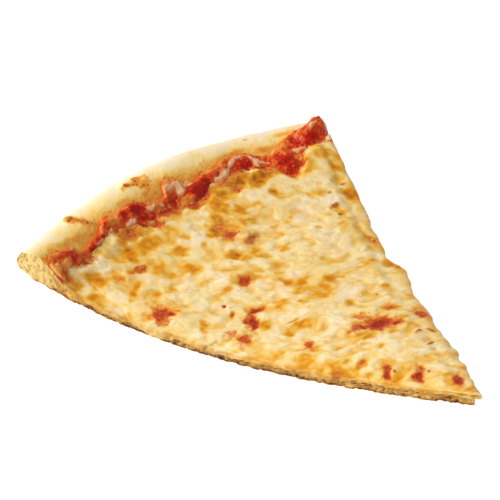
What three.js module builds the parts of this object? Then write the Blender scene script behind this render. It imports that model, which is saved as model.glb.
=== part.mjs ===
// A slice of cheese pizza: one eighth of a large round pizza, with its point towards -Y
// and its raised rim at +Y. Millimetres, +Z up. Three layers lie on each other: the dough
// with its rim, the sauce, and the melted cheese, which hangs over both cut sides.
import * as THREE from 'three';
import { mergeVertices } from 'three/addons/utils/BufferGeometryUtils.js';

// The whole pizza and the cut.
const PIZZA_RADIUS = 203;
const SLICE_ANGLE = Math.PI / 4;
const HALF_ANGLE = SLICE_ANGLE / 2;
const POINT_RADIUS = 1.2; // the point is blunt this far from the pizza's centre

// The slice sags: it rests on a flat strip, and its point and its rim curl up.
const FLAT_START = 0.6 * PIZZA_RADIUS;
const FLAT_END = 0.72 * PIZZA_RADIUS;
const FLAT_MARGIN = 2.2; // the strip is level from edge to edge this far past its start
const POINT_LIFT = 24.3;
const POINT_CURL = 1.55;
const RIM_LIFT = 9.8;
const RIM_CURL = 1.47;
const BEND_ACROSS = 0.2; // how far the bend follows a straight line across, not the rim's arc

// The strip's outer edge runs straight across, bowed in a little at the middle, so that the
// slice stands firmly on the strip's four corners.
const STRIP_EDGE = 140; // y of the edge at its corners, from the pizza's centre
const STRIP_BOW = 0.3;

// Layers.
const BASE_THICKNESS = 3.4;
const SAUCE_THICKNESS = 0.9;
const CHEESE_THICKNESS = 2.5;
const LAYER_GAP = 0.3;

// The rim: a rounded roll of dough that is tall at the -X cut and low at the +X cut.
const RIM_FOOT = 172;
const RIM_CREST = 193;
const RIM_HEIGHT = 9.4;
const RIM_FALL = 4.2;
const RIM_SWELL = 1.3;
const RIM_SWELL_PERIOD = 1.35;
const RIM_UNDERCUT = 0.2; // height of the outermost edge's foot, as a share of the crest's
const RIM_NOSE = 0.4; // height of the outermost edge's top, as a share of the crest's

// The sauce shows as a band on the rim's inner slope, and climbs over the rim at the +X cut.
const SAUCE_EDGE = 187;
const SAUCE_EDGE_WAVES = [[1, 17], [0.7, 41]]; // size, and waves per radian of bearing
const SAUCE_CLIMB = 12;
const SAUCE_CLIMB_START = 0.72; // share of the way from the middle line to the +X cut
const SAUCE_SIDE_INSET = 0.6;
const SAUCE_POINT_INSET = 3;
const BAND_THICKNESS = 1.9;
const BAND_LUMP = 0.5;
const BAND_LUMP_RATES = [1.3, 60]; // along the radius, and along the bearing
const BAND_SLOPE = 4; // the band swells and ends over this width
const BAND_END = 0.4; // its outer edge is this share of its thickness
const PILE_HEIGHT = 3.4; // the sauce is heaped at the +X end of the band
const PILE_GROWTH = 0.2; // the heap rises over this share of the way to the cut
const PILE_LAP = 3; // it hangs over the cut this far
const PILE_LAP_START = 0.9;

// The cheese ends short of the band, and laps over the cut sides in soft lobes.
const CHEESE_EDGE = 176;
const CHEESE_EDGE_WAVE = 1.2;
const CHEESE_EDGE_RATE = 23;
const CHEESE_LUMPS = [[0.45, 0.21, 0.25], [0.27, 0.47, 0.41]]; // size, rate in x, rate in y
const CHEESE_TAPER = 9; // the layer thins towards its edge over this width
const CHEESE_END = 0.4; // to this share of its thickness
const LAP_NEAR = 1.6;
const LAP_FAR = 4;
const LAP_WAVES = [[0.23, 0.2], [0.12, 0.47]]; // share of the lap, and rate along the cut
const LAP_START = 12; // the lap grows to its full width over this length from the point
const LAP_AT_POINT = 0.35;
const LAP_DROOP = 1.6;
const LAP_THINNING = 0.45;
const LAP_COLUMNS = 3;

// Mesh density.
const ACROSS_STEPS = 24;
const CHEESE_STEPS_OUT = 32;
const SAUCE_STEPS_UNDER = 12;
const SAUCE_STEPS_BAND = 12;
const BASE_STEPS = 10;
const FLAT_STEPS = 2;
const FOOT_STEPS = 3;
const RIM_STEPS = 8;

// Finishes.
const DOUGH = { color: 0xe2b56a, roughness: 0.8, metalness: 0 };
const TOMATO = { color: 0xa82a12, roughness: 0.35, metalness: 0 };
const MOZZARELLA = { color: 0xf0d68a, roughness: 0.4, metalness: 0 };

const clamp01 = t => Math.min(1, Math.max(0, t));
const mix = (a, b, t) => a + (b - a) * t;
const smooth = t => clamp01(t) ** 2 * (3 - 2 * clamp01(t));
const waves = (t, list) => list.reduce((sum, [size, rate]) => sum + size * Math.sin(rate * t), 0);

// Height of the slice's underside above the table, at radius r and bearing a.
function lift(r, a) {
  const along = r * mix(1, Math.cos(a), BEND_ACROSS);
  const toPoint = Math.max(0, FLAT_START - along) / FLAT_START;
  const toRim = Math.max(0, along - FLAT_END) / (PIZZA_RADIUS - FLAT_END);
  return POINT_LIFT * toPoint ** POINT_CURL + RIM_LIFT * toRim ** RIM_CURL;
}

// A point at radius r, bearing a from the slice's middle line, height h over the underside,
// and then out of the slice by `out`, square to the nearer cut.
function place(r, a, h, out = 0) {
  const side = Math.sign(a);
  return new THREE.Vector3(
    r * Math.sin(a) + side * out * Math.cos(HALF_ANGLE),
    r * Math.cos(a) - out * Math.sin(HALF_ANGLE),
    h + lift(r, a)
  );
}

// Height of the rim's crest: -1 is the -X cut and +1 is the +X cut.
function rimHeight(a) {
  const across = a / HALF_ANGLE;
  const swell = Math.cos(2 * Math.PI * across / RIM_SWELL_PERIOD);
  return RIM_HEIGHT - RIM_FALL * across + RIM_SWELL * swell;
}

// Top of the dough, from the flat base up the rim's slope and round to its outer edge.
function doughTop(r, a) {
  const crest = rimHeight(a);
  if (r <= RIM_CREST) {
    return mix(BASE_THICKNESS, crest, smooth((r - RIM_FOOT) / (RIM_CREST - RIM_FOOT)));
  }
  const round = (r - RIM_CREST) / (PIZZA_RADIUS - RIM_CREST);
  return crest * mix(RIM_NOSE, 1, Math.sqrt(Math.max(0, 1 - round * round)));
}

// Underside of the dough: level, then rounded up to the rim's outer edge.
function doughBottom(r, a) {
  const round = clamp01((r - RIM_CREST) / (PIZZA_RADIUS - RIM_CREST));
  return rimHeight(a) * RIM_UNDERCUT * (1 - Math.sqrt(1 - round * round));
}

// Radius of the outer edge of the strip that the slice rests on.
const stripEdge = a => (STRIP_EDGE - STRIP_BOW * (1 - (a / HALF_ANGLE) ** 2)) / Math.cos(a);

// Values from a to b, with both ends.
const steps = (a, b, count) => Array.from({ length: count + 1 }, (_, i) => mix(a, b, i / count));

// A layer of the slice. A box is cut into rows from the point to the rim, columns from the -X
// cut to the +X cut, and two faces. `map` moves each of its vertices to its place, given the
// row's share u of the way out, the place v across, from -1 to 1, and w, 0 below and 1 above.
function layer(name, finish, rows, columns, map) {
  const box = new THREE.BoxGeometry(1, 1, 1, rows, columns, 1);
  box.deleteAttribute('normal');
  box.deleteAttribute('uv');
  const merged = mergeVertices(box, 1e-5);
  const position = merged.getAttribute('position');
  for (let i = 0; i < position.count; i++) {
    const p = map(position.getX(i) + 0.5, -2 * position.getY(i), position.getZ(i) + 0.5);
    position.setXYZ(i, p.x, p.y, p.z);
  }
  merged.computeVertexNormals();
  const mesh = new THREE.Mesh(merged, new THREE.MeshStandardMaterial(finish));
  mesh.name = name;
  return mesh;
}

// The dough: a level base that swells into the rim, where the rows lie closer.
function crust() {
  const flatStart = FLAT_START + FLAT_MARGIN;
  const rounding = steps(0, Math.PI / 2, RIM_STEPS);
  const radii = [
    ...steps(POINT_RADIUS, flatStart, BASE_STEPS),
    ...steps(flatStart, FLAT_END, FLAT_STEPS).slice(1),
    ...steps(FLAT_END, RIM_FOOT, FOOT_STEPS).slice(1),
    ...steps(RIM_FOOT, RIM_CREST, RIM_STEPS).slice(1),
    ...rounding.map(t => mix(RIM_CREST, PIZZA_RADIUS, Math.sin(t))).slice(1)
  ];
  const rows = radii.length - 1;
  const stripRow = BASE_STEPS + FLAT_STEPS;
  return layer('crust', DOUGH, rows, ACROSS_STEPS, (u, v, w) => {
    const row = Math.round(u * rows);
    const r = radii[row];
    const a = v * HALF_ANGLE;
    if (w > 0.5) return place(r, a, doughTop(r, a));
    if (row === stripRow) return place(stripEdge(a), a, -lift(stripEdge(a), a));
    return place(r, a, doughBottom(r, a));
  });
}

// Outer edge of the sauce: a wavy line on the rim's slope that climbs at the +X cut.
function sauceEdge(a) {
  const climb = smooth((a / HALF_ANGLE - SAUCE_CLIMB_START) / (1 - SAUCE_CLIMB_START));
  return SAUCE_EDGE + waves(a, SAUCE_EDGE_WAVES) + SAUCE_CLIMB * climb;
}

// Share of the pile of sauce, from none at SAUCE_CLIMB_START to all of it near the +X cut.
const saucePile = a => smooth((a / HALF_ANGLE - SAUCE_CLIMB_START) / PILE_GROWTH);

// How far the sauce stands out of the cut sides: only the pile does, elsewhere it stays in.
function sauceLap(r, a) {
  const across = a / HALF_ANGLE;
  const atCut = smooth((across - PILE_LAP_START) / (1 - PILE_LAP_START));
  const inBand = smooth((r - CHEESE_EDGE - BAND_SLOPE) / BAND_SLOPE);
  return mix(-SAUCE_SIDE_INSET * Math.abs(across), PILE_LAP, atCut * inBand);
}

// Thickness of the sauce: an even film under the cheese, a lumpy band where it shows.
function sauceDepth(r, a) {
  const band = smooth((r - CHEESE_EDGE - 2 * CHEESE_EDGE_WAVE) / BAND_SLOPE);
  const ending = mix(BAND_END, 1, smooth((sauceEdge(a) - r) / BAND_SLOPE));
  const [rateOut, rateAcross] = BAND_LUMP_RATES;
  const lumps = BAND_LUMP * Math.sin(r * rateOut) * Math.sin(a * rateAcross);
  const full = BAND_THICKNESS + PILE_HEIGHT * saucePile(a) + lumps;
  return mix(SAUCE_THICKNESS, full * ending, band);
}

// The sauce: a film from point to rim, with closer rows in the band.
function sauce() {
  const rows = SAUCE_STEPS_UNDER + SAUCE_STEPS_BAND;
  const share = SAUCE_STEPS_UNDER / rows;
  return layer('sauce', TOMATO, rows, ACROSS_STEPS, (u, v, w) => {
    const a = v * HALF_ANGLE;
    const under = mix(POINT_RADIUS + SAUCE_POINT_INSET, RIM_FOOT, u / share);
    const band = mix(RIM_FOOT, sauceEdge(a), (u - share) / (1 - share));
    const r = u <= share ? under : band;
    const h = doughTop(r, a) + LAYER_GAP + w * sauceDepth(r, a);
    return place(r, a, h, sauceLap(r, a));
  });
}

// Edge of the cheese next to the band of sauce.
const cheeseEdge = a => CHEESE_EDGE + CHEESE_EDGE_WAVE * Math.sin(CHEESE_EDGE_RATE * a);

// Soft lumps of melted cheese.
function cheeseLumps(r, a) {
  const x = r * Math.sin(a);
  const y = r * Math.cos(a);
  const lump = ([size, rateX, rateY]) => size * Math.sin(rateX * x) * Math.sin(rateY * (y + x));
  return CHEESE_LUMPS.reduce((sum, wave) => sum + lump(wave), 0);
}

// Share of the lap that there is room for, from none at the point.
const fromPoint = r => smooth((r - POINT_RADIUS) / LAP_START);

// How far the cheese laps out over a cut side.
function cheeseLap(r, a) {
  const lap = a > 0 ? LAP_FAR : LAP_NEAR;
  return lap * (1 + waves(r, LAP_WAVES)) * mix(LAP_AT_POINT, 1, fromPoint(r));
}

// The cheese: its outer columns stand out of the cut sides and droop.
function cheese() {
  const columns = ACROSS_STEPS + 2 * LAP_COLUMNS;
  const inner = ACROSS_STEPS / columns;
  return layer('cheese', MOZZARELLA, CHEESE_STEPS_OUT, columns, (u, v, w) => {
    const a = HALF_ANGLE * Math.max(-1, Math.min(1, v / inner));
    const r = mix(POINT_RADIUS, cheeseEdge(a), u);
    const out = clamp01((Math.abs(v) - inner) / (1 - inner));
    const droop = LAP_DROOP * smooth((out * LAP_COLUMNS - 1) / (LAP_COLUMNS - 1)) * fromPoint(r);
    const ending = smooth((cheeseEdge(a) - r) / CHEESE_TAPER);
    const floor = doughTop(r, a) + SAUCE_THICKNESS + 2 * LAYER_GAP - droop;
    const depth = CHEESE_THICKNESS * mix(CHEESE_END, 1, ending) + cheeseLumps(r, a) * ending;
    const h = floor + w * (depth * (1 - LAP_THINNING * out * out) + droop);
    return place(r, a, h, cheeseLap(r, a) * out);
  });
}

// The pieces, moved so that the middle of the slice's footprint is the origin.
const slice = new THREE.Group();
slice.add(crust(), sauce(), cheese());
const extent = new THREE.Box3().setFromObject(slice, true);
const middle = extent.getCenter(new THREE.Vector3());
slice.position.set(-middle.x, -middle.y, -extent.min.z);

export default slice;
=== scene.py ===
"""A slice of thin cheese pizza: dough with a raised rim, tomato sauce, and browned melted cheese."""

from math import cos, pi, radians, sin, tan

import bmesh
import bpy
import numpy as np
from mathutils import Matrix, Vector, noise


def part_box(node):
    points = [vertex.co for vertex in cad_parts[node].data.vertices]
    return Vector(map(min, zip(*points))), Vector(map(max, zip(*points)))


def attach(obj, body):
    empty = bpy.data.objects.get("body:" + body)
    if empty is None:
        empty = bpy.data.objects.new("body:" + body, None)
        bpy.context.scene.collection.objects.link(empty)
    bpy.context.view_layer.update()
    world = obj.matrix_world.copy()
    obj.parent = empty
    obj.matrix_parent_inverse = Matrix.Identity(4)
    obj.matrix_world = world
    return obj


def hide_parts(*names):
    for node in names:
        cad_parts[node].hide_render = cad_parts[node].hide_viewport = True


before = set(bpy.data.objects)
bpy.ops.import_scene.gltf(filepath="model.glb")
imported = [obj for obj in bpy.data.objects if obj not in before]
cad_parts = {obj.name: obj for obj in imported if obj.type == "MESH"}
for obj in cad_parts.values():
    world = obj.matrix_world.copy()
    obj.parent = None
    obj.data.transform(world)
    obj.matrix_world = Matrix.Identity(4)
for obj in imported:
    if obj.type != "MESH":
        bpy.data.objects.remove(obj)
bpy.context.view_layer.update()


# The dough. One eighth of a thin hand-stretched base whose edge swelled into a rim in the oven.
# Its top is pale and smooth, its underside is charred in spots, and its cuts show an open crumb.

pizza_radius = 203  # all lengths of the slice are in millimetres until a piece is finished
half_angle = radians(22.5)
cut_out = Vector((cos(half_angle), -sin(half_angle)))  # square to the +X cut, out of the slice

flat_start = 0.6 * pizza_radius  # the slice lies on a level strip, and its two ends curl up
flat_end = 0.72 * pizza_radius
point_lift, point_curl = 24.3, 1.55
rim_lift, rim_curl = 9.8, 1.47
bend_across = 0.2

base_thickness = 3.4
rim_foot, rim_crest = 172, 193
rim_height, rim_fall = 9.4, 4.2  # at the middle, and how much lower towards the +X cut
rim_swell, rim_swell_period = 1.3, 1.35
rim_nose = 0.34  # height of the outermost edge, as a share of the crest's height
rim_arc = 15  # length of the rim's rounding, from its crest to its outermost edge


def smooth(t):
    t = np.clip(t, 0, 1)
    return t * t * (3 - 2 * t)


def mix(a, b, t):
    return a + (b - a) * t


def lift(r, a):
    """Height of the slice's underside above the table at radius r and bearing a."""
    along = r * mix(1, np.cos(a), bend_across)
    to_point = np.maximum(0, flat_start - along) / flat_start
    to_rim = np.maximum(0, along - flat_end) / (pizza_radius - flat_end)
    return point_lift * to_point**point_curl + rim_lift * to_rim**rim_curl


def place(r, a, h, out=0.0):
    """Points at radius r, bearing a and height h over the underside, then `out` past a cut."""
    side = np.where(a < 0, -1, 1)
    x = r * np.sin(a) + side * out * cut_out.x
    y = r * np.cos(a) + out * cut_out.y
    return np.stack([x, y, h + lift(r, a)], axis=1)


def rim_top(a):
    across = a / half_angle
    swell = np.cos(2 * pi * across / rim_swell_period)
    return rim_height - rim_fall * across + rim_swell * swell


def dough_top(r, a):
    """Height of the dough's upper side over its underside, up to the rim's crest."""
    return mix(base_thickness, rim_top(a), smooth((r - rim_foot) / (rim_crest - rim_foot)))


def edge_radius(a, points):
    """Radius, at bearing a, of a line that crosses the slice through these x and y."""
    x, y = np.array(points).T
    return np.interp(a, np.arctan2(x, y), np.hypot(x, y))


def height_then_place(vertex):
    """One number that orders vertices by z, then y, then x, each to a thousandth."""
    x, y, z = (round(1000 * c) for c in vertex.co)
    return (z * 10**6 + y) * 10**6 + x


def slab(length, margin, cell, layers, is_fine):
    """A flat wedge of square cells with its point at the origin, from z = 0 to z = 1.

    It reaches `margin` past both cuts. Where is_fine is true its cells are three times finer.
    """
    bm = bmesh.new()
    width = length * tan(half_angle) + margin / cos(half_angle)
    depth = length + margin
    bmesh.ops.create_grid(
        bm, x_segments=round(2 * width / cell), y_segments=round(depth / cell), size=1
    )
    stretch = Matrix.Diagonal((width, depth / 2, 1, 1))
    bm.transform(Matrix.Translation((0, depth / 2 - margin, 0)) @ stretch)
    for side in (-1, 1):
        normal = Vector((side * cut_out.x, cut_out.y, 0))
        bmesh.ops.bisect_plane(
            bm, geom=bm.verts[:] + bm.edges[:] + bm.faces[:], dist=0.3 * cell,
            plane_co=normal * margin, plane_no=normal, use_snap_center=True, clear_outer=True,
        )
    bmesh.ops.triangulate(bm, faces=[f for f in bm.faces if len(f.verts) > 4])
    raised = bmesh.ops.extrude_face_region(bm, geom=bm.faces[:], use_keep_orig=True)["geom"]
    upper = [part for part in raised if isinstance(part, bmesh.types.BMVert)]
    bmesh.ops.translate(bm, vec=(0, 0, 1), verts=upper)
    upright = [e for e in bm.edges if e.verts[0].co.z != e.verts[1].co.z]
    bmesh.ops.subdivide_edges(bm, edges=upright, cuts=layers - 1)
    fine = [e for e in bm.edges if is_fine(e.verts[0].co) and is_fine(e.verts[1].co)]
    bmesh.ops.subdivide_edges(bm, edges=fine, cuts=2, use_grid_fill=True)
    bm.verts.sort(key=height_then_place)  # because the order they come in varies between runs
    return bm


def past_cut(x, y):
    """How far a flat point lies outside the nearer cut: negative inside the slice."""
    return np.abs(x) * cut_out.x + y * cut_out.y


def polar(flat, length):
    """Radius, bearing, and distance past the cut of a flat wedge's points.

    The wedge's straight outer edge becomes an arc of radius `length`.
    """
    x, y = flat[:, 0], flat[:, 1]
    side = np.where(x < 0, -1, 1)
    out = np.maximum(0, past_cut(x, y))
    x = x - side * out * cut_out.x
    y = y - out * cut_out.y
    a = np.where(out > 0, side * half_angle, np.arctan2(x, np.maximum(y, 1e-6)))
    r = x * np.sin(a) + y * np.cos(a)
    return r * mix(1, np.cos(a), smooth(2 * y / length - 1)), a, out


def at_radius(r, stops):
    """Value at radius r of a line through these radii and values."""
    radii, values = zip(*stops)
    return np.interp(r, radii, values)


def noise_places(points, size, seed):
    """The points' places in the noise, where `size` is 1 and each seed starts somewhere else."""
    start = Vector((seed * 7.1, seed * 3.7, seed * 5.3))
    return [Vector(p) / size + start for p in points.tolist()]


def rough(points, size, seed, octaves=2):
    """Soft noise, about -1 to 1, in lumps about `size` across."""
    gain, gap = 1.0, 2.0  # each octave is half as large, and half as strong, as the one before
    return np.array([noise.fractal(p, gain, gap, octaves) for p in noise_places(points, size, seed)])


pit_radius = 0.45  # as a share of the distance between pits
patch_fade = 3.2  # how sharply a patch ends


def pits(points, size, seed):
    """Round hollows: 1 in the middle of each, 0 between them."""
    near = [noise.voronoi(p)[0][0] for p in noise_places(points, size, seed)]
    return smooth(1 - np.array(near) / pit_radius)


def patches(points, places, wobble=0.0, spread=1.0):
    """How strongly each point is covered by patches that fade at their edges.

    A patch is the x and y of its middle, its length and width, its turn in degrees, and its strength.
    """
    cover = np.zeros(len(points))
    for x, y, length, width, turn, strength in places:
        east, north = points[:, 0] - x, points[:, 1] - y
        c, s = cos(radians(turn)), sin(radians(turn))
        along = (east * c + north * s) / (length / 2)
        across = (north * c - east * s) / (width / 2)
        off = np.maximum(0, np.hypot(along, across) / spread - wobble)
        cover = np.maximum(cover, strength * np.exp(-off**patch_fade))
    return cover


def flat_points(bm):
    return np.array([v.co[:] for v in bm.verts])


low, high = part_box("crust")
pizza_centre = Vector(((low.x + high.x) / 2, high.y - pizza_radius / 1000, 0))


def finish_piece(name, bm, points, looks, material, node):
    """Moves the mesh's vertices to their points, in the frame, and makes it a piece of the slice.

    looks are numbers for each vertex that the material reads by their names.
    """
    for v, p in zip(bm.verts, points.tolist()):
        v.co = p
    for look, values in looks.items():
        layer = bm.verts.layers.float.new(look)
        for v, value in zip(bm.verts, values.tolist()):
            v[layer] = value
    bmesh.ops.remove_doubles(bm, verts=bm.verts[:], dist=0.01)
    bmesh.ops.recalc_face_normals(bm, faces=bm.faces[:])
    bm.transform(Matrix.Translation(pizza_centre) @ Matrix.Scale(0.001, 4))
    mesh = bpy.data.meshes.new(name)
    bm.to_mesh(mesh)
    bm.free()
    mesh.shade_smooth()
    mesh.materials.append(material)
    piece = bpy.data.objects.new(name, mesh)
    bpy.context.scene.collection.objects.link(piece)
    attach(piece, "root")
    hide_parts(node)


class Value:
    """A number or colour that a shader node gives; arithmetic on it adds Math nodes."""

    def __init__(self, finish, socket):
        self.finish, self.socket = finish, socket

    def math(self, operation, *others):
        values = dict(enumerate((self, *others)))
        return self.finish.node("Math", {"operation": operation}, values)

    def __add__(self, other):
        return self.math("ADD", other)

    def __sub__(self, other):
        return self.math("SUBTRACT", other)

    def __rsub__(self, other):
        return (self * -1).math("ADD", other)

    def __mul__(self, other):
        return self.math("MULTIPLY", other)

    __radd__, __rmul__ = __add__, __mul__

    def step(self, low, high):
        """0 below low, 1 above high, and smooth between."""
        ends = {"From Min": low, "From Max": high}
        smooth_step = {"interpolation_type": "SMOOTHSTEP"}
        return self.finish.node("MapRange", smooth_step, {"Value": self, **ends})


class Finish:
    """A material built from shader nodes, around one Principled shader."""

    def __init__(self, name, **uniform):
        self.material = bpy.data.materials.new(name)
        self.material.use_nodes = True
        self.tree = self.material.node_tree
        self.shader = self.tree.nodes["Principled BSDF"]
        for socket, value in uniform.items():
            self.shader.inputs[socket.replace("_", " ")].default_value = value
        self.place = self.node("TexCoord", output="Object")

    def feed(self, socket, value):
        if isinstance(value, Value):
            self.tree.links.new(value.socket, socket)
        else:
            socket.default_value = value

    def node(self, kind, settings=None, inputs=None, output=0):
        made = self.tree.nodes.new("ShaderNode" + kind)
        for name, value in (settings or {}).items():
            setattr(made, name, value)
        for name, value in (inputs or {}).items():
            self.feed(made.inputs[name], value)
        return Value(self, made.outputs[output])

    def look(self, name):
        return self.node("Attribute", {"attribute_name": name}, output="Fac")

    def grain(self, size, detail=2.0, stretch=None):
        """Noise around 0, from -0.5 to 0.5, in grains about `size` millimetres across."""
        where = self.place
        if stretch:
            where = self.node("Mapping", inputs={"Vector": where, **stretch})
        values = {"Vector": where, "Scale": 1000 / size, "Detail": detail}
        return self.node("TexNoise", inputs=values) - 0.5

    def blend(self, share, first, second):
        """A mix of two colours. The Mix node's colour sockets are found by their numbers."""
        values = {0: share, 6: first, 7: second}
        return self.node("Mix", {"data_type": "RGBA"}, values, output=2)

    def ramp(self, value, *stops):
        """Colours along a value; each stop is a place and a six-digit colour."""
        made = self.tree.nodes.new("ShaderNodeValToRGB")
        elements = made.color_ramp.elements
        while len(elements) < len(stops):
            elements.new(0.5)
        for element, (position, code) in zip(elements, stops):
            element.position, element.color = position, tint(code)
        self.feed(made.inputs["Fac"], value)
        return Value(self, made.outputs["Color"])

    def bump(self, height, depth):
        """Fine relief: depth is in millimetres."""
        values = {"Height": height, "Strength": 1.0, "Distance": depth / 1000}
        return self.node("Bump", inputs=values)

    def wire(self, **sockets):
        for name, value in sockets.items():
            self.feed(self.shader.inputs[name.replace("_", " ")], value)
        return self.material


def tint(code):
    """Linear colour of a six-digit sRGB code."""
    parts = [int(code[i:i + 2], 16) / 255 for i in (0, 2, 4)]
    return (*[((c + 0.055) / 1.055) ** 2.4 if c > 0.04045 else c / 12.92 for c in parts], 1.0)


def baked_dough():
    skin = Finish(
        "baked_dough", Subsurface_Weight=0.1, Subsurface_Radius=(1.0, 0.5, 0.25),
        Subsurface_Scale=0.002, Specular_IOR_Level=0.2,
    )
    fine = skin.grain(0.8, 3.0)
    toast = skin.look("toast") + skin.grain(6, 4.0) * 0.3 + fine * 0.2
    top = skin.ramp(
        toast,
        (0.0, "FEEED8"), (0.14, "FEE6BC"), (0.27, "FCDC90"), (0.42, "F8C058"),
        (0.55, "EC9838"), (0.7, "C26A28"), (0.85, "78421A"), (1.0, "331A0A"),
    )
    # Darker crumb: painted shade in the pits of the cut crumb, plus the underside crust's own brown.
    pore_shade_and_crust = skin.look("pore_shade_and_crust") + skin.grain(1.4, 4.0) * 0.9
    crumb_tone = skin.ramp(
        pore_shade_and_crust, (0.0, "F0D088"), (0.35, "DEB05C"), (0.65, "B47C30"), (0.9, "8A5420"), (1.0, "643A12")
    )
    colour = skin.blend(skin.look("crumb"), top, crumb_tone)
    relief = skin.bump(skin.grain(1.2, 4.0), 0.2)
    return skin.wire(Base_Color=colour, Roughness=0.62, Normal=relief)


dough_length = rim_crest + rim_arc
far_bow, far_bow_end = 2, 118  # the +X cut bows out this far, up to this radius
rim_tan = [(186, 0.38), (190, 0.3), (194, 0.22), (198, 0.13), (203, 0.05)]  # radius, browning
rim_blisters = [
    (-48.5, 191.5, 6, 5, -50, 1.0), (-46.5, 189, 11, 5, -50, 1.0), (-44, 186.5, 8, 4, -50, 0.9),
    (-18, 194, 6, 3.5, 0, 1.0), (-12.5, 194.5, 7, 4, 0, 0.95), (-10.5, 192, 7, 6, 0, 0.85),
    (-9.5, 188, 9, 7, 80, 0.7), (-0.5, 191, 2.4, 1.8, 0, 0.7), (17, 190.5, 2, 1, 0, 0.6),
    (43.5, 193.5, 2.4, 1.5, 0, 0.7), (-23, 189, 5, 2, 0, 0.5), (19.5, 191, 1.4, 1, 0, 0.6),
]
rim_gold = [
    (-67, 178, 8, 4, 20, 0.46), (-59, 180.5, 14, 4, 8, 0.5), (-50, 181.5, 12, 4, 8, 0.52),
    (-44, 184, 7, 5, 30, 0.5), (-34, 187, 12, 3, 4, 0.45), (-25, 188.5, 9, 3.5, 0, 0.48),
    (-11.5, 186, 9, 6, 15, 0.56), (8, 187.5, 12, 4, 0, 0.42), (20, 188, 10, 4, 0, 0.45),
    (32, 188.5, 16, 4, 0, 0.54), (50, 184, 16, 4, -8, 0.54), (61, 187, 10, 3, -12, 0.47),
]

sauce_edge = [  # the x and y of points along the sauce's outer edge
    (-72, 174.5), (-69, 176), (-65, 177.5), (-61, 178), (-58, 177.5), (-55, 176), (-50, 177.5),
    (-46, 179), (-42, 180.5), (-40.5, 183), (-38, 184.8), (-33, 184.8), (-28, 185.5), (-24, 186.3),
    (-20, 185.8), (-16, 184), (-10, 182.8), (-6, 184), (-4.5, 188), (-1, 189.5), (2, 188), (5, 185.5),
    (10, 184.5), (15, 185.5), (20, 186), (27, 187), (34, 187.5), (39, 186), (41, 183.5), (45, 181.5),
    (50, 181.5), (55, 183), (60, 184.5), (65, 185.5), (70, 185.5), (74, 185.5), (77, 185),
]


def near_cut_or_rim(co):
    """Where the dough's mesh is fine: next to the cuts, and on the rim's upper side."""
    return past_cut(co.x, co.y) > -3.5 or (co.y > rim_foot - 6 and co.z > 0.5)


def dough():
    bm = slab(dough_length, margin=0, cell=1.7, layers=5, is_fine=near_cut_or_rim)
    flat = flat_points(bm)
    r, a, _ = polar(flat, dough_length)
    past = past_cut(flat[:, 0], flat[:, 1])
    up = flat[:, 2]
    crest = rim_top(a)
    turn = np.maximum(0, r - rim_crest) / rim_arc * pi / 2
    top = np.where(turn > 0, crest * mix(rim_nose, 1, np.cos(turn)), dough_top(r, a))
    bottom = crest * rim_nose * (1 - np.cos(turn))
    r = np.where(turn > 0, rim_crest + (pizza_radius - rim_crest) * np.sin(turn), r)
    at_cut = past > -0.05
    wall = at_cut & (up > 0.01) & (up < 0.99)
    spot = place(r, a, mix(bottom, top, up))
    rim = smooth((r - rim_foot - 8) / 10)
    blister = patches(spot, rim_blisters, 0.5 * rough(spot, 3, 9), 1.25)
    swell = 0.5 * rough(spot, 21, 1) + 0.2 * rough(spot, 6, 2) + 0.5 * blister
    char = rough(spot, 9, 3, 3)
    under = 0.45 * np.maximum(0, char + 0.1) + 0.45 * np.maximum(0, rough(spot, 2.6, 4))
    under += np.where(at_cut, 0.5 * pits(spot, 2, 16), 0)
    height = mix(bottom + under * (1 - turn / 2), top + swell * rim, up)
    hollows = np.zeros(len(r))
    hollows[wall] = np.maximum(0.7 * pits(spot[wall], 2.3, 5), pits(spot[wall], 1.2, 6))
    crust_edge = smooth(1 - height / (1.4 + 0.8 * char)) * (1 - 0.7 * rim)
    crumble = np.where(at_cut, 0.5 * rough(spot, 2.6, 7, 3) + 0.4 * crust_edge, 0)
    bow = far_bow * smooth(r / 30) * smooth((far_bow_end - r) / 20)
    crumble += np.where(a > 0, bow * smooth(1 + past / 6), 0)
    points = place(r, a, height, crumble - 0.8 * hollows)
    sole = smooth((0.5 - up) * 4)
    fringe = np.exp(-np.maximum(0, r - edge_radius(a, sauce_edge)) / 4)
    skin = at_radius(r, rim_tan)
    skin += 0.1 * rough(spot, 14, 21) + fringe * (0.2 + 0.4 * pits(spot, 1.5, 20))
    skin = np.maximum(skin, patches(spot, rim_gold, 0.4 * rough(spot, 5, 10), 1.45))
    skin = np.maximum(skin, blister * (0.66 + 0.6 * pits(spot, 1.6, 8)))
    nose = smooth((turn - 0.95) / 0.5)
    skin = mix(skin, 0.42 + 0.3 * rough(spot, 8, 17, 3), nose)
    looks = {
        "toast": mix(skin, 0.56 + 0.5 * char, sole),
        "crumb": np.where(wall, 1.0, 0.0),
        # The pits in the cut crumb (hollows) are painted darker as shade; crust_edge and char are the
        # crust's own browning.
        "pore_shade_and_crust": 0.5 * hollows + 0.6 * crust_edge + (0.45 + 0.3 * char) * (1 - 0.8 * rim),
    }
    finish_piece("dough", bm, points, looks, baked_dough(), "crust")


dough()


# The sauce. A film of cooked tomato from the point to the rim. It shows as a lumpy, pulpy band
# on the rim's inner slope, and is heaped over the rim at the +X cut.

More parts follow.
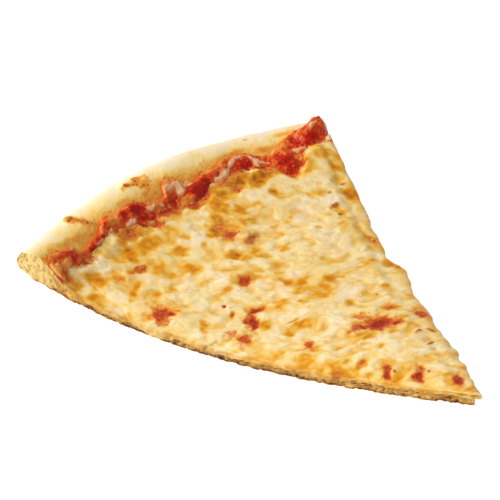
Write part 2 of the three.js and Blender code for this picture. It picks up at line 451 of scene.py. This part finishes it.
sauce_thickness = 0.9
near_sauce_lap = [(155, 0), (168, 0.8)]  # radius, how far the sauce stands out past the -X cut
far_sauce_lap = [(165, 0.4), (175, 2.6), (196, 3.4)]  # and past the +X cut
cheese_edge = [  # the x and y of points along the cheese's outer edge
    (-69, 168), (-66, 170), (-60, 171.3), (-55, 172.3), (-50, 173.8), (-46, 175.8), (-43, 177),
    (-38, 179), (-33, 179.5), (-29, 178), (-24, 178.5), (-21, 177), (-17, 176), (-13, 180), (-9, 179.5),
    (-5, 178.5), (0, 177.5), (5, 177), (10, 177.3), (15, 179.8), (20, 179.5), (25, 180), (28, 181.5),
    (31, 180), (34, 178.5), (38, 178.8), (41, 176), (45, 175), (47, 168), (50, 165.5), (54, 168.5),
    (58, 171), (60, 174.2), (65, 175), (70, 175), (73, 174),
]
sauce_heaps = [
    (73.5, 181.5, 11, 8, 0, 4.6), (68, 179, 10, 8, 10, 2), (51, 174, 10, 10, 0, 1.2),
    (34, 181.5, 8, 5, 0, 0.4), (9, 180, 13, 6, 15, 1.4), (-22, 183.5, 7, 4, 0, 1.2),
    (-28, 183, 5, 4, 0, 1), (-37, 182.5, 7, 4, 0, 1.1), (-46, 177.5, 12, 3, 18, 0.8),
    (-60, 175, 10, 5, 0, 1.2), (-69, 170, 6, 8, 0, 0.8), (-7, 183, 7, 3, 0, 0.5),
    (22, 184, 12, 3, 5, 0.6),
]
dark_pulp = [
    (9, 180, 12, 6, 15, 1), (51, 172, 9, 9, 0, 0.9), (-22, 183.5, 6, 4, 0, 1),
    (-27.5, 183, 4, 4, 0, 0.8), (-48, 176.5, 6, 3, 18, 0.7), (-43, 178, 6, 3, 12, 0.8),
    (34, 181.5, 8, 5, 0, 0.8), (67, 177, 8, 5, 0, 0.9), (-20, 179.5, 5, 4, 0, 1),
    (70, 184, 5, 3, 50, 0.6), (-17.5, 183, 3, 3, 0, 0.7), (75, 178, 5, 4, 20, 0.5),
    (-38, 182, 5, 4, 0, 0.4),
]
orange_pulp = [
    (-71, 170, 7, 10, -20, 1.1), (-64, 172, 6, 4, 20, 0.6), (-8, 178.5, 12, 4, -10, 0.7),
    (-33, 183, 5, 4, 0, 0.5), (-54, 176, 6, 3, 0, 0.6), (73, 183, 5, 3, 0, 0.5),
    (50, 180.5, 16, 3, 5, 0.6), (0, 178, 12, 5, 0, 0.8), (5, 185, 6, 3, 0, 0.8),
    (20, 185.5, 12, 2, 0, 0.5), (43, 180, 5, 5, 0, 0.7), (-30, 176, 12, 4, 0, 0.7),
    (-1, 186, 9, 6, 0, 0.8), (57, 173, 4, 4, 0, 0.9), (-18, 176, 5, 4, 0, 0.7),
]
curd_shreds = [  # each is a width, then the x and y of the points that the shred runs through
    (1.4, (-46, 176), (-41, 177.3), (-36, 179.2)), (2.8, (-28.5, 179), (-25, 179.8)),
    (2.6, (-15.5, 181.6), (-12, 182), (-9.5, 181.2)), (3.4, (-19.5, 177.5), (-17.5, 175.5)),
    (2, (-5.3, 184.5), (-5, 187.6), (-2, 188.6), (1.5, 187.4)), (4.2, (-3.5, 185.4), (0, 185.8)),
    (4.2, (1.2, 183.2), (2, 185.3)), (1.4, (4, 184.2), (8, 183.2)), (4.4, (19.5, 180.8), (24, 181)),
    (2, (25, 181.3), (27.5, 183.3), (30.5, 184.7)), (3, (39.3, 184), (40, 181), (38.3, 178.3)),
    (1.8, (32.5, 185.4), (36.5, 185.4), (39.3, 184)), (3.4, (38.3, 178.3), (34.5, 177), (30, 178)),
    (1.5, (41.5, 179), (44.5, 177)), (3.4, (58, 176.2), (61, 176), (63.3, 172.8)),
    (1.6, (69.3, 180.3), (72.3, 179.8)), (1.2, (-33, 184.3), (-30.5, 183.7)),
    (1, (-26, 184.6), (-24, 185)), (1.1, (-60, 177), (-57, 176.2)), (1, (12, 183.6), (15, 184.4)),
    (1, (64, 182.5), (66, 183.5)),
]
shred_fade = 2.4  # how sharply a shred ends at its sides


def shreds(points, routes, wobble):
    """How strongly each point is covered by soft shreds that run through their points."""
    cover = np.zeros(len(points))
    for width, *route in routes:
        for start, end in zip(route, route[1:]):
            way = np.subtract(end, start)
            gone = points[:, :2] - start
            share = np.clip(gone @ way / (way @ way), 0, 1)
            gap = np.hypot(*(gone - share[:, None] * way).T)
            off = np.maximum(0, 2 * gap / width - wobble)
            cover = np.maximum(cover, np.exp(-off**shred_fade))
    return cover


def tomato_sauce():
    pulp = Finish("tomato_sauce", Specular_IOR_Level=0.18)
    # depth makes the sauce darker red in the gaps between lumps and grains (painted shade) and more
    # orange on their tops (painted highlight), mixed with the pulp's own tones.
    shade = pulp.look("depth") + pulp.grain(1.4, 3.0) * 0.7
    colour = pulp.ramp(
        shade, (0.0, "B21406"), (0.22, "CC300E"), (0.4, "E25E20"), (0.65, "EE8A34"), (1.0, "F6B25C")
    )
    shred = pulp.look("shred") + pulp.grain(2.2, 3.0) * 0.8
    curd = pulp.ramp(shred, (0.25, "D4602A"), (0.5, "E4824A"), (0.75, "F0A06E"), (1.0, "FAC496"))
    colour = pulp.blend(shred.step(0.15, 0.75), colour, curd)
    relief = pulp.bump(pulp.grain(0.8, 3.0), 0.35)
    return pulp.wire(Base_Color=colour, Roughness=0.18, Normal=relief)


def rim_surface(r, a):
    """Height of the dough's upper side over its underside, all the way to its outermost edge."""
    beyond = np.clip((r - rim_crest) / (pizza_radius - rim_crest), 0, 1)
    return dough_top(np.minimum(r, rim_crest), a) * mix(rim_nose, 1, np.sqrt(1 - beyond**2))


stretch_start, fray_width = 150, 8


def to_edge(r, a, length, outer, fray, size, seed):
    """Stretches a layer from radius stretch_start on, so that it ends at the radius `outer`.

    Its last few millimetres, fray_width, are frayed by `fray` in lumps about `size` across.
    """
    share = (r - stretch_start) / (length - stretch_start)
    r = np.where(r > stretch_start, mix(stretch_start, outer, share), r)
    frayed = smooth((r - outer + fray_width) / fray_width) * fray
    return r + frayed * rough(place(r, a, 0 * r), size, seed)


def sauce():
    length, lap = 200, 4.0
    bm = slab(length, lap, cell=1.38, layers=1, is_fine=lambda co: co.y > 158 and co.z > 0.5)
    flat = flat_points(bm)
    r, a, out = polar(flat, length)
    up = flat[:, 2]
    outer = edge_radius(a, sauce_edge)
    r = to_edge(r, a, length, outer, fray=1.1, size=2.6, seed=13)
    r = np.maximum(r, 2 + 0.2 * r)  # it stays back from the point
    over = out / lap * pi / 2
    near = a < 0
    a = np.where(near, 0.985 * a, a)  # and from the -X cut
    reach = np.where(near, at_radius(r, near_sauce_lap), at_radius(r, far_sauce_lap))
    floor = rim_surface(r, a)
    spot = place(r, a, floor, reach * np.sin(over))
    lumps = rough(spot, 4.5, 11, 3)
    grains = pits(spot, 1.9, 12)
    shred = shreds(spot, curd_shreds, 0.8 * rough(spot, 4, 14))
    band = smooth((r - edge_radius(a, cheese_edge) + 2) / 3)
    band *= mix(0.1, 1, smooth((outer - r) / 2.5))
    heap = patches(spot, sauce_heaps, 0.3 * lumps, 1.1)
    depth = sauce_thickness + band * (0.3 + heap + 0.7 * lumps + 0.6 * grains + 0.5 * shred)
    depth = np.maximum(0.3, depth) * mix(0.2, 1, np.cos(over))
    sag = np.where(near, 0, 1.2 + 0.6 * rough(spot, 5, 15)) * smooth(over)
    points = place(r, a, floor - sag + up * depth, reach * np.sin(over))
    dark = patches(spot, dark_pulp, 0.3 * lumps)
    orange = patches(spot, orange_pulp, 0.3 * lumps)
    edge = smooth(1 - (outer - r) / 2)
    looks = {
        # lumps and grains: painted highlight on their raised tops and painted shade in the gaps; dark,
        # orange and edge are the pulp's own tones.
        "depth": 0.32 + 0.3 * lumps + 0.25 * grains - 0.3 * dark + 0.5 * orange + 0.2 * edge,
        "shred": shred * band,
    }
    finish_piece("sauce_layer", bm, points, looks, tomato_sauce(), "sauce")


sauce()


# The cheese. Grated mozzarella that melted into one sheet, with soft curds, golden oily hollows
# and orange-brown blisters. Its valleys, creases, fold and laps over the cuts also get painted shade.
# It laps over both cuts and thins out next to the band of sauce.

cheese_thickness = 2.6
streak_turn = radians(38)  # the curds were drawn out in this direction as they melted

# How far the cheese stands out past each cut, and how far it hangs over the dough at the -X cut:
# a radius, then that distance.
far_lap = [
    (0, 2.4), (10, 3.6), (20, 4.2), (30, 5.4), (50, 4.9), (60, 5.8), (90, 6.3), (105, 6.6),
    (113, 3.6), (140, 4.2), (150, 4.6), (160, 5.0), (180, 4.4), (190, 3.0),
]
near_lap = [(55, 0.8), (60, 1.4), (100, 1.4), (130, 1.2), (140, 1.8), (176, 1.2)]
near_droop = [
    (0, 0.45), (25, 0.375), (55, 0.3), (60, 0.9), (72, 1.2), (76, 0.3), (98, 0.3), (104, 0.825),
    (120, 0.9), (123, 0.15), (129, 0.15), (131, 1.95), (142, 1.95), (146, 0.45), (158, 0.45),
    (164, 1.125), (176, 0.9),
]

# Lobes of cheese overlap along the -X cut: a radius, then how far in from the cut their fold is.
# Below 0 the fold runs down the lap, and at -6 it is past the lap, so there is none.
near_fold = [
    (0, -4), (20, -1), (33, 0.5), (47, -1.5), (52, -6), (70, -6), (78, -1.6), (107, 1.5), (112, 3),
    (116, -6), (148, -6), (152, 0), (154, 2.2), (162, 4), (170, 6.6), (176, 8),
]

golden = [
    (-56, 162, 5.5, 7, 0, 0.95), (-42, 167, 7, 5, 0, 0.7), (-35.5, 167, 6.5, 7, 0, 0.95),
    (-28, 168, 11, 6, 0, 0.85), (-48, 148.5, 10, 3, 38, 0.8), (-31, 153, 7, 7, 45, 0.55),
    (-22.5, 147, 9, 6, 0, 0.7), (-29, 148, 4, 4, 0, 0.6), (-17, 157, 6, 5, -40, 0.65),
    (-11, 162, 3, 3, 0, 0.75), (-7.5, 155, 3, 3, 0, 0.55), (-35.5, 141, 6, 4, 0, 0.6),
    (-41, 142, 5, 3, 0, 0.5), (-22, 136, 8, 4, 0, 0.4), (-17.5, 126.5, 5, 4.5, 0, 0.8),
    (-2.5, 142.5, 6.5, 6, 0, 1.0), (1, 137, 6, 4, 0, 0.7), (6, 136, 9, 5, -45, 0.6),
    (-7.3, 134.8, 3.5, 3, 0, 0.5), (-39, 114, 8, 2.5, 55, 0.8), (8.5, 127.5, 7, 6, -20, 0.7),
    (5, 121.5, 4, 3, 0, 0.6), (16.5, 132.5, 4, 3, 0, 0.5), (18, 163, 8, 4, -10, 0.85),
    (16, 157, 9, 7, -20, 0.65), (23, 172, 6, 5, 0, 1.0), (55, 164, 5, 3, 0, 0.8),
    (35, 162.5, 3.5, 3, 0, 0.75), (22, 145.8, 4, 2.5, 0, 0.6), (29.5, 146.5, 4, 5, 0, 0.7),
    (34, 148, 5, 4, 0, 0.6), (49.5, 151.5, 5, 5, 0, 0.8), (51, 136, 5, 3, 0, 0.6),
    (44.5, 138.5, 4, 3, 0, 0.5), (44.5, 129, 4, 5, 0, 0.45), (36, 134, 3, 2.5, 0, 0.4),
    (6, 163, 5, 9, 0, 0.9), (15, 177, 8, 5, 0, 0.85), (9, 170, 8, 6, 0, 0.55), (25, 161, 5, 4, 0, 0.6),
    (0, 118, 8, 6, 40, 0.55), (4, 115, 5, 4, 0, 0.6), (-20.5, 99.5, 7, 5, 45, 0.85),
    (-28.5, 93.5, 3, 3, 0, 0.6), (-17.3, 88, 2.5, 5, 0, 0.6), (-28, 80, 4, 4, 45, 0.7),
    (-25, 69, 8, 8, 45, 0.7), (-30, 68, 4, 6, 0, 0.85), (-6.5, 105.5, 5, 5, 0, 0.65),
    (6.5, 109, 11, 4, 25, 0.9), (0.5, 100.5, 3.5, 3, 0, 0.6), (17.5, 105.3, 5.5, 4.5, 0, 0.8),
    (14, 101, 12, 8, 20, 0.35), (37.5, 104.5, 6, 5, 0, 0.55), (9, 97.5, 4, 3, 0, 0.6),
    (43.5, 98, 4, 7, 0, 0.8), (44.5, 110, 5, 4, 0, 0.55), (12.5, 86.5, 4.5, 4, 0, 0.6),
    (21, 88, 4.5, 3.5, 0, 0.7), (31.5, 87, 3.5, 3, 0, 0.55), (-8, 88, 6, 5, 0, 0.6),
    (-1, 66, 10, 8, 45, 0.6), (3, 63, 7, 5, 0, 0.7), (10.5, 58, 4.5, 3.5, 0, 0.6),
    (20.5, 63, 4, 4, 0, 0.6), (-12.5, 49.5, 6, 4, 55, 0.85), (0, 53.5, 3, 2.5, 0, 0.7),
    (-10, 33, 5, 4, 45, 0.7), (12.5, 29.5, 5, 6, 60, 0.45), (3, 18, 3, 2.5, 0, 0.6),
    (2, 3, 5, 6, 60, 0.7), (-18, 45, 5, 8, 60, 0.6), (-22, 60, 5, 10, 60, 0.6),
    (-21, 53, 11, 9, 60, 0.9), (61, 144, 5, 10, -10, 0.9), (-68, 163, 8, 6, 0, 0.9),
    (-63, 155, 6, 8, 0, 0.65),
]
toasted_areas = [
    (-30, 162, 60, 36, 0, 0.14), (-55, 150, 30, 30, 40, 0.05), (5, 160, 30, 30, 0, 0.12),
    (5, 110, 50, 30, 30, 0.08), (-20, 80, 30, 50, 30, 0.1), (55, 160, 30, 20, 0, 0.08),
    (40, 100, 20, 40, 0, 0.06), (-12, 35, 16, 40, 20, 0.1),
]
greasy = [
    (-9, 177, 20, 6, 0, 1.05), (4, 175, 12, 6, 0, 1.0), (13, 174, 12, 8, 0, 0.85),
    (10, 167, 12, 8, -45, 0.7), (26, 176, 14, 9, -10, 0.95), (34, 172, 12, 7, 0, 0.95),
    (66, 170, 8, 8, 10, 0.6), (66, 160, 5, 7, 0, 0.6), (-30, 175, 12, 7, 0, 1.0),
    (-70, 168, 9, 8, 0, 1.1), (42, 174, 8, 6, 0, 0.9), (-36, 173, 7, 5, 0, 0.7),
    (57, 168, 8, 6, 0, 0.6), (-72, 164, 8, 5, 0, 0.95), (2, 158, 10, 8, -30, 0.85),
]
sauce_windows = [
    (-70, 170, 8, 8, 0, 0.9), (-60, 172, 8, 3, 0, 0.5), (-30, 175, 8, 5, 30, 0.6),
    (-17, 175.5, 5, 6, 30, 0.8), (-9, 178, 10, 5, -5, 0.85), (3, 176, 6, 6, 0, 0.75),
    (24, 172, 4, 4, 0, 0.65), (42, 176.5, 6, 4, 0, 0.6),
    (-38.5, 158, 9, 3.5, 5, 0.75), (-48, 158, 4, 4, 60, 0.5), (-47, 131.5, 9, 9, 35, 0.8),
    (-44.5, 129, 5, 4, -30, 0.9), (-8, 126.5, 6, 5.5, 30, 0.85), (-24.5, 119.5, 1.2, 1.2, 0, 0.9),
    (-25, 113.8, 3, 1.5, 40, 0.8), (-22.5, 105, 4.5, 9, -25, 1.0), (-16, 109.5, 8, 3, -10, 0.95),
    (-32, 97.5, 7, 5, 45, 0.8), (-34, 103, 5, 5, 45, 0.45), (-17.5, 74.5, 3.5, 6, -25, 0.7),
    (4.5, 157, 6, 10, 0, 0.5), (5, 153.5, 7, 5, -20, 0.65),
    (11, 67, 11, 8, -40, 1.05), (16, 62, 6, 4, -30, 0.95), (4, 71, 9, 5, 20, 0.65),
    (9, 76, 9, 4, -30, 0.5), (22, 72.5, 5, 4, -30, 0.7), (27.7, 61, 4, 8, 0, 0.7),
    (-9.5, 38.5, 10, 3, 56, 0.85), (-3, 27.5, 9, 4, 50, 0.85), (0, 32, 5, 1.5, 55, 0.5),
    (3, 12.5, 7, 4, 50, 0.9), (-11, 51, 4, 2.5, 55, 0.6), (48.5, 115, 3, 6, 10, 0.55),
    (55, 171, 6, 6, 0, 0.8),
]
blisters = [
    (9.5, 145.8, 7, 5, 20, 0.6), (13, 147, 6, 5, 0, 0.45), (50, 141, 6, 3, 5, 0.6),
    (48.5, 135.5, 2, 1.8, 0, 0.6), (62, 149.5, 3, 2, 0, 0.6), (54.2, 149, 2, 1.5, 0, 0.5),
    (59, 148, 1.5, 1.5, 0, 0.6), (-22.5, 52.5, 5, 6, 20, 0.5), (14.8, 41, 3.5, 1.8, 20, 0.75),
    (17.5, 51, 3, 1.8, 0, 0.7), (22, 49, 2.5, 5, 20, 0.55), (-8, 36, 2, 1.8, 0, 0.7),
    (0, 25.5, 1.5, 1.5, 0, 0.7), (24.5, 84, 1.5, 1.5, 0, 0.7), (-37, 157.5, 4, 2, 0, 0.7),
    (15, 156, 8, 1, -25, 0.6), (-10, 93, 9, 1, -5, 0.5), (-7, 107.5, 9, 1, -30, 0.45),
    (27, 81, 6, 1, -15, 0.45), (3, 150, 1, 1, 0, 0.6), (35, 79, 3, 1, -20, 0.3),
    (6.5, 162, 3, 8, -15, 0.45), (29, 85, 2, 2, 0, 0.3), (-1, 101, 2, 2, 0, 0.4),
]
curds = [
    (-16, 66, 12, 7, 35, 0.9), (-8, 74, 14, 4, 25, 0.9), (0, 83, 12, 7, 20, 0.7),
    (15, 76, 6, 4, -20, 1.0), (8, 72, 4, 3, 0, 1.0), (-6, 82, 5, 3, 20, 0.8),
    (24, 125, 16, 12, 0, 0.5), (33, 131, 12, 8, -30, 0.5), (-46, 165, 10, 5, 0, 0.7),
    (-20, 164, 14, 8, 0, 0.5), (-30, 125, 12, 10, 45, 0.5), (15, 168, 7, 4, 10, 0.9),
    (28, 158, 10, 6, -20, 0.6), (10, 93, 10, 6, 20, 0.6), (30, 97, 8, 5, -40, 0.6),
    (15, 34, 5, 14, -25, 0.7), (7, 30, 4, 10, -30, 0.6), (-44, 124, 10, 8, 60, 0.5),
    (55, 155, 8, 8, 0, 0.6), (40, 122, 8, 10, 0, 0.5), (-38, 90, 8, 8, 60, 0.6),
]


def melted_cheese():
    melt = Finish(
        "melted_cheese", Subsurface_Weight=0.3, Subsurface_Radius=(1.0, 0.6, 0.25),
        Subsurface_Scale=0.0015, Specular_IOR_Level=0.2,
    )
    streaks = {"Rotation": (0, 0, streak_turn), "Scale": (0.6, 1.2, 1.0)}
    fine = melt.grain(1.3, 3.0, streaks)
    # Browning and oil of the cheese, plus painted shade in its valleys, creases, fold and laps over the
    # cuts.
    bake_and_shade = melt.look("bake_and_shade") + fine * 0.12 + melt.grain(3.2, 2.0, streaks) * 0.15
    colour = melt.ramp(
        bake_and_shade,
        (0.0, "FCEBC6"), (0.16, "F8DFA8"), (0.32, "F3CF82"), (0.48, "EDB950"),
        (0.64, "E49C22"), (0.82, "D68410"), (1.0, "AC6014"),
    )
    pale = 1 - bake_and_shade.step(0.15, 0.55)
    blush = pale * (melt.grain(9, 3.0) + 0.05).step(0.0, 0.25) * 0.5
    colour = melt.blend(blush, colour, tint("F6D6B8"))
    lemon = pale * melt.grain(12, 3.0, streaks).step(0.0, 0.2) * 0.6
    colour = melt.blend(lemon, colour, tint("F2DC90"))
    flecks = pale * melt.grain(2.4, 3.0).step(0.06, 0.26) * 0.45
    colour = melt.blend(flecks, colour, tint("DCA040"))
    # Painted shade: the side of the cheese hanging over the -X cut is blended to a darker tone.
    wall = melt.grain(3.5, 3.0) + 0.5
    shaded_wall_tone = melt.ramp(wall, (0.3, "A87428"), (0.45, "C4943C"), (0.62, "DCB868"))
    colour = melt.blend(melt.look("side") * 0.85, colour, shaded_wall_tone)
    red = melt.look("red") + melt.grain(1.0, 3.0) * 0.9 + melt.grain(2.6) * 0.6
    colour = melt.blend(
        red.step(0.05, 0.6), colour,
        melt.ramp(red, (0.15, "ECAC50"), (0.4, "E08A36"), (0.68, "CA5826"), (1.0, "A42C12")),
    )
    brown = melt.look("brown") + fine * 0.4
    colour = melt.blend(
        brown.step(0.05, 0.7), colour,
        melt.ramp(brown, (0.2, "DE9634"), (0.5, "BC6C20"), (0.95, "7C3A0A")),
    )
    relief = melt.bump(melt.grain(1.1, 3.0, streaks), 0.12)
    return melt.wire(Base_Color=colour, Roughness=0.52 - bake_and_shade * 0.25, Normal=relief)


def plates(points, size, seed):
    """Soft domes about `size` across: 0 in the valleys where they meet, and a tone for each dome."""
    near = [noise.voronoi(p) for p in noise_places(points, size, seed)]
    domes = smooth(np.array([gaps[1] - gaps[0] for gaps, _ in near]) / 0.5)
    return domes, domes * np.array([noise.noise(middles[0] * 5.3) for _, middles in near])


def sideways(points, size):
    """Shifts to and fro across the slice, which make straight borders wavy."""
    return np.stack([rough(points, size, 38), rough(points, size, 39), 0 * points[:, 0]], axis=1)


def upper_or_at_cut(co):
    """Where the cheese's mesh is fine: on its upper side and over the cuts."""
    return co.z > 0.4 or past_cut(co.x, co.y) > -1.5


def cheese():
    length, lap = 176, 5.0
    bm = slab(length, lap, cell=1.4, layers=2, is_fine=upper_or_at_cut)
    flat = flat_points(bm)
    r, a, out = polar(flat, length)
    inward = np.maximum(0, -past_cut(flat[:, 0], flat[:, 1]))
    up = flat[:, 2]
    outer = edge_radius(a, cheese_edge)
    r = to_edge(r, a, length, outer, fray=0.9, size=3, seed=30)
    r = np.where(r < 0, 0.4 * r, r)  # it stands out less past the point
    near = a < 0
    over = out / lap * pi / 2
    edge = place(r, a, 0 * r)
    reach = np.where(near, at_radius(r, near_lap), at_radius(r, far_lap))
    reach *= 1 + 0.35 * rough(edge, 12, 37)
    spot = place(r, a, 0 * r, reach * np.sin(over))
    flow = spot @ np.array(Matrix.Rotation(streak_turn, 3, "Z")).T
    flow[:, 1] += 3 * rough(spot, 18, 26)
    flow *= (0.8, 1.1, 1)
    broad = rough(spot, 26, 23)
    domes, dome_tone = plates(flow + 2.5 * sideways(flow, 7), 5.5, 22)
    small = rough(flow, 1.8, 25)
    tone = rough(flow, 14, 27, 3)
    shade = rough(flow, 4, 28)
    lines = np.exp(-(rough(flow, 7, 35) / 0.06)**2) * smooth(0.5 + 1.5 * rough(spot, 22, 36))
    wobble = 0.4 * rough(spot, 4, 29) + 0.2 * small
    oily = patches(spot, greasy, wobble, 1.1)
    gold = np.maximum(patches(spot, golden, wobble, 1.2), oily)
    halo = patches(spot, sauce_windows, wobble, 1.7)
    red = 0.75 * patches(spot, sauce_windows, 1.5 * wobble, 1.05) + 0.3 * halo
    brown = 0.75 * patches(spot, blisters, 1.5 * wobble) + 0.3 * patches(spot, blisters, wobble, 1.6)
    lump = patches(spot, curds, wobble)
    thick = rough(flow, 6, 24) + 0.4 * lump - 0.35 * np.maximum(gold, halo)
    thick = smooth((thick + 0.55 - 1.2 * patches(spot, toasted_areas)) / 0.7)
    ending = smooth((outer - r) / 5)
    red = np.maximum(red, smooth(1 - (outer - r) / 5) * (0.45 + 0.8 * rough(spot, 5, 42)))
    past_fold = at_radius(r, near_fold) + 0.7 * rough(edge, 6, 31) - inward + out
    fold = np.where(near, np.exp(-(past_fold / 0.5)**2), 0)
    lower = np.where(near, smooth(past_fold + 0.5), 0)
    relief = 0.6 * broad + 0.4 * thick + 0.2 * domes * thick + 0.04 * small - 0.1 * lines - 0.25
    relief += 0.3 * lump + 0.3 * brown - red * (0.5 - 0.5 * pits(spot, 1.5, 32))
    relief -= 0.9 * (1 - smooth(inward / np.where(near, 8, 5))) + 0.5 * lower + 0.3 * fold
    depth = cheese_thickness * mix(0.35, 1, ending) + mix(0.3, 1, ending) * relief
    floor = dough_top(r, a) + 0.6 * sauce_thickness
    droop = np.where(near, at_radius(r, near_droop), 1.0 + 0.6 * np.sin(r / 9))
    droop += 0.3 * small + 0.9 * rough(spot, 7, 34) + np.where(near, 0.4, 0) * rough(spot, 3.5, 45)
    height = floor + mix(-droop * smooth(over), depth * mix(0.3, 1, np.cos(over)), up)
    bulge = np.where(near, 0.5, 0.1) * smooth(over) * rough(place(r, a, height), 3.2, 43)
    points = place(r, a, height, (reach - 0.4 * lower - 0.4 * fold) * np.sin(over) + bulge)
    # Painted shade: the valleys between domes (1 - domes), the crease lines, the laps over the cuts
    # (over) and the fold along the -X cut are made darker and more golden; tone, dome_tone and thin
    # cheese (1 - thick) are the cheese's own browning and oil.
    bake_and_shade = 0.17 + 0.16 * tone + 0.16 * shade + 0.14 * dome_tone + 0.05 * (1 - domes)
    bake_and_shade += 0.2 * (1 - thick) + 0.15 * lines + 0.15 * smooth(over) + 0.2 * fold
    gold_tone = 0.8 + 0.12 * oily + 0.35 * shade + 0.15 * small
    looks = {
        "bake_and_shade": mix(bake_and_shade, gold_tone, np.maximum(gold, 0.7 * halo)),
        "red": red,
        "brown": brown,
        # side: painted shade, darker on the cheese hanging over the -X cut.
        "side": np.where(near, smooth(over) * (0.8 + 0.4 * rough(spot, 9, 41)), 0),
    }
    finish_piece("cheese_layer", bm, points, looks, melted_cheese(), "cheese")


cheese()


# The studio: a white table top, a large soft key light from behind on the left, and a fill.

def table():
    bm = bmesh.new()
    bmesh.ops.create_grid(bm, x_segments=1, y_segments=1, size=3)
    mesh = bpy.data.meshes.new("table")
    bm.to_mesh(mesh)
    bm.free()
    paint = Finish("table_white", Roughness=0.9, Emission_Strength=0.95)
    mesh.materials.append(paint.wire(Base_Color=tint("888888"), Emission_Color=tint("FFFFFF")))
    top = bpy.data.objects.new("table", mesh)
    bpy.context.scene.collection.objects.link(top)


def softbox(name, position, size, watts):
    """A round lamp that shines on the slice."""
    light = bpy.data.lights.new(name, "AREA")
    light.shape = "DISK"
    light.size, light.energy = size, watts
    lamp = bpy.data.objects.new(name, light)
    lamp.location = position
    lamp.rotation_euler = (-Vector(position)).to_track_quat("-Z", "Y").to_euler()
    bpy.context.scene.collection.objects.link(lamp)


def camera():
    bearing, height, roll = radians(37.64), radians(39.37), radians(-1.09)
    distance = 1.0355
    aim = pizza_centre + Vector((0.0054, 0.1412, 0.006))
    back = Vector((-sin(bearing) * cos(height), -cos(bearing) * cos(height), sin(height)))
    lens = bpy.data.cameras.new("camera")
    lens.lens, lens.sensor_width = 182.1, 36
    view = bpy.data.objects.new("camera", lens)
    turn = (-back).to_track_quat("-Z", "Y").to_matrix().to_4x4()
    view.matrix_world = Matrix.Translation(aim + back * distance) @ turn @ Matrix.Rotation(roll, 4, "Z")
    bpy.context.scene.collection.objects.link(view)
    bpy.context.scene.camera = view


table()
softbox("key", position=(-0.85, 0.75, 0.9), size=0.8, watts=22.5)
softbox("fill", position=(0.9, -0.9, 1.0), size=1.4, watts=3)
world = bpy.data.worlds.new("studio")
world.use_nodes = True
background = world.node_tree.nodes["Background"]
background.inputs["Color"].default_value = (1, 1, 1, 1)
background.inputs["Strength"].default_value = 0.3
bpy.context.scene.world = world
bpy.context.scene.view_settings.view_transform = "Standard"
camera()
